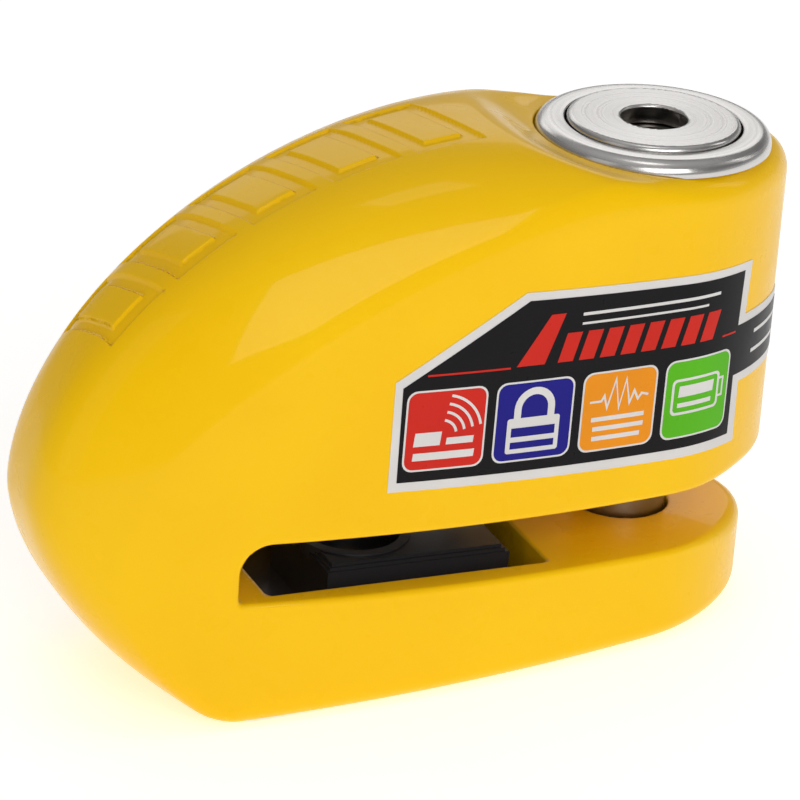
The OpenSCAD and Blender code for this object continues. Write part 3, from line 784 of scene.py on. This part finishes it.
def on_icon(i, loops, ink="white", low=0.17, high=0.19):
    s0 = LEFT + i * PITCH
    prints[ink].add([tilt([(s0 + a, BOTTOM + b) for a, b in loop]) for loop in loops], low, high)


def bar(s0, s1, z0, z1, lean=0.0):
    return [(s0, z0), (s1, z0), (s1 + lean * (z1 - z0), z1), (s0 + lean * (z1 - z0), z1)]


# sound waves over plain bars
for r in (2.1, 3.2, 4.3, 5.4):
    on_icon(0, [stroke(round_corner(4.6, 4.4, r, 12, 78, 12), 0.34)])
on_icon(0, [bar(1.1, 4.6, 3.2, 5.0, 0.1)])
on_icon(0, [bar(5.4, 9.0, 3.2, 4.1, 0.1)])
on_icon(0, [bar(1.1, 9.2, 1.3, 2.3, 0.1)])
# closed padlock
on_icon(1, [stroke([(2.9, 5.6)] + round_corner(5.2, 6.9, 2.3, 180, 0, 16) + [(7.5, 5.6)], 0.95)])
on_icon(1, [rounded(1.6, 8.8, 1.0, 5.7, 0.35)])
on_icon(1, [bar(2.2, 8.2, 3.2, 4.4)], "blue", 0.19, 0.21)
on_icon(1, [bar(2.2, 8.2, 1.6, 2.5)], "blue", 0.19, 0.21)
# shock trace over plain bars
TRACE = [(1.0, 6.6), (2.6, 6.6), (3.0, 7.3), (3.5, 5.6), (4.5, 9.4), (5.2, 5.4), (6.0, 9.2),
         (6.7, 5.9), (7.3, 7.5), (7.9, 6.3), (8.4, 7.0), (9.4, 6.7)]
on_icon(2, [stroke(TRACE, 0.3)])
for z in (3.9, 2.6, 1.3):
    on_icon(2, [bar(1.4 + 0.3 * (z < 3), 9.0 - 0.4 * (z < 2), z, z + 0.6)])
# battery
on_icon(3, [rounded(1.0, 8.7, 3.1, 8.0, 0.7), rounded(1.35, 8.35, 3.45, 7.65, 0.5)[::-1]])
on_icon(3, [stroke([(8.7, 6.9), (9.4, 6.9), (9.4, 4.5), (8.7, 4.5)], 0.3)])
on_icon(3, [bar(2.0, 7.6, 5.5, 7.0, 0.08)])
on_icon(3, [bar(2.0, 7.4, 4.1, 4.7)])

# heading: a rising row of slanted red bars with white rules, and thin red lines
prints["red"].add([tilt([(14.4, -23.4), (18.2, -23.4), (20.6, -16.9), (18.6, -16.9)])], 0.12, 0.15)
for i in range(8):
    a = 20.0 + 2.95 * i
    prints["red"].add([tilt(bar(a, a + 2.1, -23.4, -19.6, 0.28))], 0.12, 0.15)
for z0, z1, s1 in ((-17.5, -17.1, 43.4), (-18.7, -18.4, 41.5)):
    prints["white"].add([tilt(bar(23.0, s1, z0, z1))], 0.12, 0.15)
prints["red"].add([tilt(bar(2.6, 13.6, -23.6, -23.35))], 0.12, 0.15)
prints["red"].add([tilt(bar(44.6, 47.2, -23.6, -23.35))], 0.12, 0.15)
for a, b, z in ((52.0, 59.8, -25.6), (51.6, 59.6, -28.2)):
    prints["white"].add([bar(a, b, z, z + 0.5)], 0.12, 0.15)

for ink, sheet in prints.items():
    obj = sheet.build()
    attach(obj, "casing")
    if ink == "black":
        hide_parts("label")

# ---------------------------------------------------------------------------
# Floor, light and camera
FLOOR_HALF, FLOOR_Z = 3.0, -0.0004
floor_mesh = bpy.data.meshes.new("floor")
floor_mesh.from_pydata([(a * FLOOR_HALF, b * FLOOR_HALF, FLOOR_Z)
                        for a, b in ((-1, -1), (1, -1), (1, 1), (-1, 1))], [], [(0, 1, 2, 3)])
floor = bpy.data.objects.new("floor", floor_mesh)
bpy.context.scene.collection.objects.link(floor)
floor_mesh.materials.append(plain("floor_white", (0.93, 0.93, 0.93), (0.95, 0.95, 0.95),
                                  (0.8, 0.9), 40, 0.00001, Emission_Color=(1, 1, 1, 1),
                                  Emission_Strength=0.48))

WORLD_STRENGTH = 0.40
world = bpy.data.worlds.new("studio")
bpy.context.scene.world = world
world.use_nodes = True
wt = world.node_tree
background = wt.nodes["Background"]
coord = wt.nodes.new("ShaderNodeTexCoord")
split = wt.nodes.new("ShaderNodeSeparateXYZ")
wt.links.new(coord.outputs["Generated"], split.inputs[0])
tone = wt.nodes.new("ShaderNodeValToRGB")
SKY = ((0.0, 1.0), (0.12, 0.9), (0.3, 0.45), (0.62, 0.6), (0.95, 1.3))
tone.color_ramp.elements[-1].position = SKY[-1][0]
for stop, _ in SKY[1:-1]:
    tone.color_ramp.elements.new(stop)
for e, (_, grey) in zip(tone.color_ramp.elements, SKY):
    e.color = (grey, grey, grey, 1)
wt.links.new(split.outputs["Z"], tone.inputs["Fac"])
wt.links.new(tone.outputs["Color"], background.inputs["Color"])
background.inputs["Strength"].default_value = WORLD_STRENGTH


def area(name, place, aim, size, power):
    """Rectangular lamp at a place in metres, turned towards a point, with its power in watts."""
    light = bpy.data.lights.new(name, "AREA")
    light.shape = "RECTANGLE"
    light.size, light.size_y = size
    light.energy = power
    obj = bpy.data.objects.new(name, light)
    obj.location = place
    obj.rotation_euler = (Vector(aim) - Vector(place)).to_track_quat("-Z", "Y").to_euler()
    bpy.context.scene.collection.objects.link(obj)
    obj.visible_camera = False
    return obj


area("key", (-0.10, -1.00, 0.60), (0, 0, 0.03), (0.8, 0.6), 5.0)
area("left", (-0.95, -0.25, 0.45), (0, 0, 0.03), (0.5, 0.9), 0.6)
area("top", (0.02, -0.10, 0.90), (0, 0, 0.03), (0.22, 0.22), 0.30)
area("back", (0.35, 1.10, 0.62), (0, 0, 0.05), (1.3, 0.5), 2.4)
area("rear", (0.90, -0.10, 0.50), (0, 0, 0.03), (0.15, 0.4), 0.35)

# The camera's place and axes are given in the leaning frame
AZ, PITCH_DOWN, ROLL = 0.42962615331882725, 0.4108475851865322, 0.07384433075147381
EYE = (-259.4457, -496.2674, 202.3901)
FOCAL, FRAME_WIDTH, SENSOR = 4736.29, 800, 36
ahead = np.array([math.sin(AZ) * math.cos(PITCH_DOWN), math.cos(AZ) * math.cos(PITCH_DOWN),
                  -math.sin(PITCH_DOWN)])
right = np.array([math.cos(AZ), -math.sin(AZ), 0])
up = np.cross(right, ahead)
right, up = (right * math.cos(ROLL) + up * math.sin(ROLL),
             up * math.cos(ROLL) - right * math.sin(ROLL))
eye = to_row(EYE)
right, up, ahead = turn_row([right, up, ahead])
camera_data = bpy.data.cameras.new("camera")
camera_data.sensor_width = SENSOR
camera_data.lens = FOCAL / FRAME_WIDTH * SENSOR
camera = bpy.data.objects.new("camera", camera_data)
bpy.context.scene.collection.objects.link(camera)
camera.matrix_world = Matrix([(*row, at) for row, at in
                              zip(np.stack([right, up, -ahead], 1).tolist(), eye.tolist())]
                             + [(0, 0, 0, 1)])
bpy.context.scene.camera = camera
bpy.context.scene.view_settings.view_transform = "Standard"
